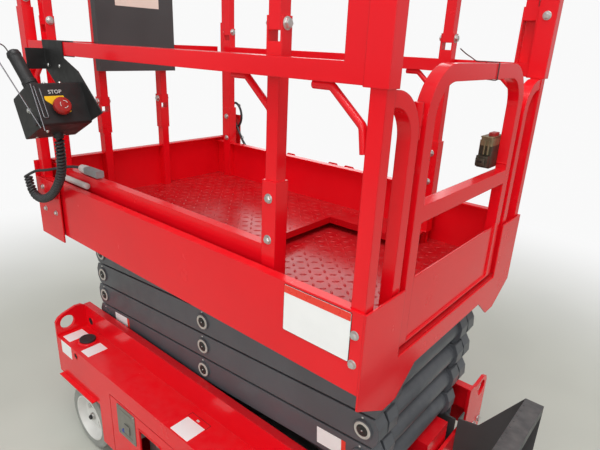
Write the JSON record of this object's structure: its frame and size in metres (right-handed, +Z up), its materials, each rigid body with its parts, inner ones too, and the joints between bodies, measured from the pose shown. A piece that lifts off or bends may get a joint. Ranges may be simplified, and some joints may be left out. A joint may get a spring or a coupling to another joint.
{
  "type": "scissor lift",
  "caption": "Self-propelled scissor lift with folded stack, folding guard rails, roll-out deck, swing gate and ladder.",
  "frame": {"origin": "on the ground under the machine's middle, midway between the axles", "axes": "+X forward, away from the ladder and the gate, +Y to the left, +Z up"},
  "size_m": [1.438, 0.9567, 1.962],
  "materials": {
    "red_paint": "gloss",
    "arm_paint": "satin",
    "charcoal_paint": "satin",
    "black_plastic": "matte",
    "tyre": "matte",
    "cream_paint": "satin",
    "zinc": "satin",
    "chrome": "polished",
    "deck_paint": "satin",
    "battery_case": "matte",
    "black_rubber": "matte",
    "red_plastic": "satin",
    "grey_plastic": "matte"
  },
  "bodies": {
    "chassis": {"chassis_sides": "red_paint", "chassis_ends": "red_paint", "chassis_tub": "charcoal_paint", "chassis_webs": "red_paint", "scissor_base": "arm_paint", "rear_stub_axles": "zinc", "ladder": "charcoal_paint", "valve_cover": "red_paint", "filler_cap": "black_plastic"},
    "tray_left": {"tray_left": "red_paint", "battery_left": "battery_case", "ground_controls": "zinc"},
    "tray_right": {"tray_right": "red_paint", "power_pack_right": "black_plastic"},
    "knuckle_left": {"knuckle_left": "zinc"},
    "knuckle_right": {"knuckle_right": "zinc"},
    "wheel_front_left": {"tyre_front_left": "tyre", "hub_front_left": "cream_paint"},
    "wheel_front_right": {"tyre_front_right": "tyre", "hub_front_right": "cream_paint"},
    "wheel_rear_left": {"tyre_rear_left": "tyre", "hub_rear_left": "cream_paint"},
    "wheel_rear_right": {"tyre_rear_right": "tyre", "hub_rear_right": "cream_paint"},
    "inner_1": {"inner_arms_1": "arm_paint"},
    "outer_1": {"outer_arms_1": "arm_paint"},
    "inner_2": {"inner_arms_2": "arm_paint"},
    "outer_2": {"outer_arms_2": "arm_paint"},
    "inner_3": {"inner_arms_3": "arm_paint"},
    "outer_3": {"outer_arms_3": "arm_paint"},
    "inner_4": {"inner_arms_4": "arm_paint"},
    "outer_4": {"outer_arms_4": "arm_paint"},
    "barrel": {"lift_barrel": "charcoal_paint"},
    "rod": {"lift_rod": "chrome"},
    "platform": {"platform_floor": "deck_paint", "platform_underframe": "arm_paint", "platform_sides": "red_paint", "platform_rear_panel": "red_paint", "rear_posts": "red_paint", "outer_rails": "red_paint", "control_bracket": "black_plastic", "control_box": "black_plastic", "cable_plate": "red_paint", "stop_button": "red_plastic", "control_guards": "chrome", "curly_cord": "black_rubber", "connector_lead": "black_rubber", "connector": "grey_plastic", "far_cable": "black_rubber"},
    "gate": {"gate": "red_paint", "gate_latch": "zinc"},
    "deck": {"extension_deck": "deck_paint", "toe_boards": "red_paint", "front_panel": "red_paint", "extension_rails": "red_paint"},
    "inner_frame_left": {"inner_frame_left": "red_paint"},
    "inner_frame_right": {"inner_frame_right": "red_paint"},
    "front_guard": {"front_guard": "red_paint", "document_box": "charcoal_paint"}
  },
  "joints": [
    {"name": "lift", "type": "hinge", "parent": "chassis", "child": "inner_1", "pos_m": [-0.556, 0, 0.46], "axis": [0, -1, 0], "range_deg": [0, 48]},
    {"name": "scissor_1", "type": "hinge", "parent": "inner_1", "child": "outer_1", "pos_m": [-0.02, 0, 0.499], "axis": [0, -1, 0], "range_deg": [-96, 0]},
    {"name": "rear_pin_1", "type": "hinge", "parent": "outer_1", "child": "inner_2", "pos_m": [-0.556, 0, 0.538], "axis": [0, -1, 0], "range_deg": [0, 96]},
    {"name": "scissor_2", "type": "hinge", "parent": "inner_2", "child": "outer_2", "pos_m": [-0.02, 0, 0.577], "axis": [0, -1, 0], "range_deg": [-96, 0]},
    {"name": "rear_pin_2", "type": "hinge", "parent": "outer_2", "child": "inner_3", "pos_m": [-0.556, 0, 0.616], "axis": [0, -1, 0], "range_deg": [0, 96]},
    {"name": "scissor_3", "type": "hinge", "parent": "inner_3", "child": "outer_3", "pos_m": [-0.02, 0, 0.655], "axis": [0, -1, 0], "range_deg": [-96, 0]},
    {"name": "rear_pin_3", "type": "hinge", "parent": "outer_3", "child": "inner_4", "pos_m": [-0.556, 0, 0.694], "axis": [0, -1, 0], "range_deg": [0, 96]},
    {"name": "scissor_4", "type": "hinge", "parent": "inner_4", "child": "outer_4", "pos_m": [-0.02, 0, 0.733], "axis": [0, -1, 0], "range_deg": [-96, 0]},
    {"name": "platform_pin", "type": "hinge", "parent": "outer_4", "child": "platform", "pos_m": [-0.556, 0, 0.772], "axis": [0, -1, 0], "range_deg": [0, 48]},
    {"name": "cylinder_pivot", "type": "hinge", "parent": "inner_2", "child": "barrel", "pos_m": [-0.4812, 0, 0.54344], "axis": [0, -1, 0], "range_deg": [0, 13.8]},
    {"name": "cylinder_rod", "type": "slide", "parent": "barrel", "child": "rod", "axis": [0.9867, 0, 0.1626], "range_m": [0, 0.7484]},
    {"name": "steer_left", "type": "hinge", "parent": "chassis", "child": "knuckle_left", "pos_m": [0.465, 0.328, 0.115], "axis": [0, 0, 1], "range_deg": [-60, 60]},
    {"name": "steer_right", "type": "hinge", "parent": "chassis", "child": "knuckle_right", "pos_m": [0.465, -0.328, 0.115], "axis": [0, 0, 1], "range_deg": [-60, 60]},
    {"name": "roll_front_left", "type": "hinge", "parent": "knuckle_left", "child": "wheel_front_left", "pos_m": [0.465, 0.328, 0.115], "axis": [0, 1, 0], "continuous": true},
    {"name": "roll_front_right", "type": "hinge", "parent": "knuckle_right", "child": "wheel_front_right", "pos_m": [0.465, -0.328, 0.115], "axis": [0, 1, 0], "continuous": true},
    {"name": "roll_rear_left", "type": "hinge", "parent": "chassis", "child": "wheel_rear_left", "pos_m": [-0.465, 0.328, 0.115], "axis": [0, 1, 0], "continuous": true},
    {"name": "roll_rear_right", "type": "hinge", "parent": "chassis", "child": "wheel_rear_right", "pos_m": [-0.465, -0.328, 0.115], "axis": [0, 1, 0], "continuous": true},
    {"name": "gate_hinge", "type": "hinge", "parent": "platform", "child": "gate", "pos_m": [-0.5995, 0.25, 1.1], "axis": [0, 0, 1], "range_deg": [0, 72]},
    {"name": "tray_left_hinge", "type": "hinge", "parent": "chassis", "child": "tray_left", "pos_m": [-0.275, 0.3873, 0.2], "axis": [0, 0, 1], "range_deg": [0, 90]},
    {"name": "tray_right_hinge", "type": "hinge", "parent": "chassis", "child": "tray_right", "pos_m": [-0.275, -0.3873, 0.2], "axis": [0, 0, -1], "range_deg": [0, 90]},
    {"name": "deck_slide", "type": "slide", "parent": "platform", "child": "deck", "axis": [1, 0, 0], "range_m": [0, 0.5]},
    {"name": "inner_frame_left_hinge", "type": "hinge", "parent": "deck", "child": "inner_frame_left", "pos_m": [0, 0.3325, 1.421], "axis": [1, 0, 0], "range_deg": [0, 90]},
    {"name": "inner_frame_right_hinge", "type": "hinge", "parent": "deck", "child": "inner_frame_right", "pos_m": [0, -0.3325, 1.421], "axis": [-1, 0, 0], "range_deg": [0, 76.5]},
    {"name": "front_guard_hinge", "type": "hinge", "parent": "deck", "child": "front_guard", "pos_m": [0.56, 0, 1.19], "axis": [0, -1, 0], "range_deg": [0, 90]}
  ],
  "couplings": [
    {"joint": "scissor_1", "follows": "lift", "ratio": -2},
    {"joint": "rear_pin_1", "follows": "lift", "ratio": 2},
    {"joint": "scissor_2", "follows": "lift", "ratio": -2},
    {"joint": "rear_pin_2", "follows": "lift", "ratio": 2},
    {"joint": "scissor_3", "follows": "lift", "ratio": -2},
    {"joint": "rear_pin_3", "follows": "lift", "ratio": 2},
    {"joint": "scissor_4", "follows": "lift", "ratio": -2},
    {"joint": "platform_pin", "follows": "lift", "ratio": 1},
    {"joint": "cylinder_pivot", "follows": "lift", "ratio": 0.28566},
    {"joint": "cylinder_rod", "follows": "lift", "m_per_rad": 0.89272},
    {"joint": "steer_right", "follows": "steer_left", "ratio": 1}
  ]
}
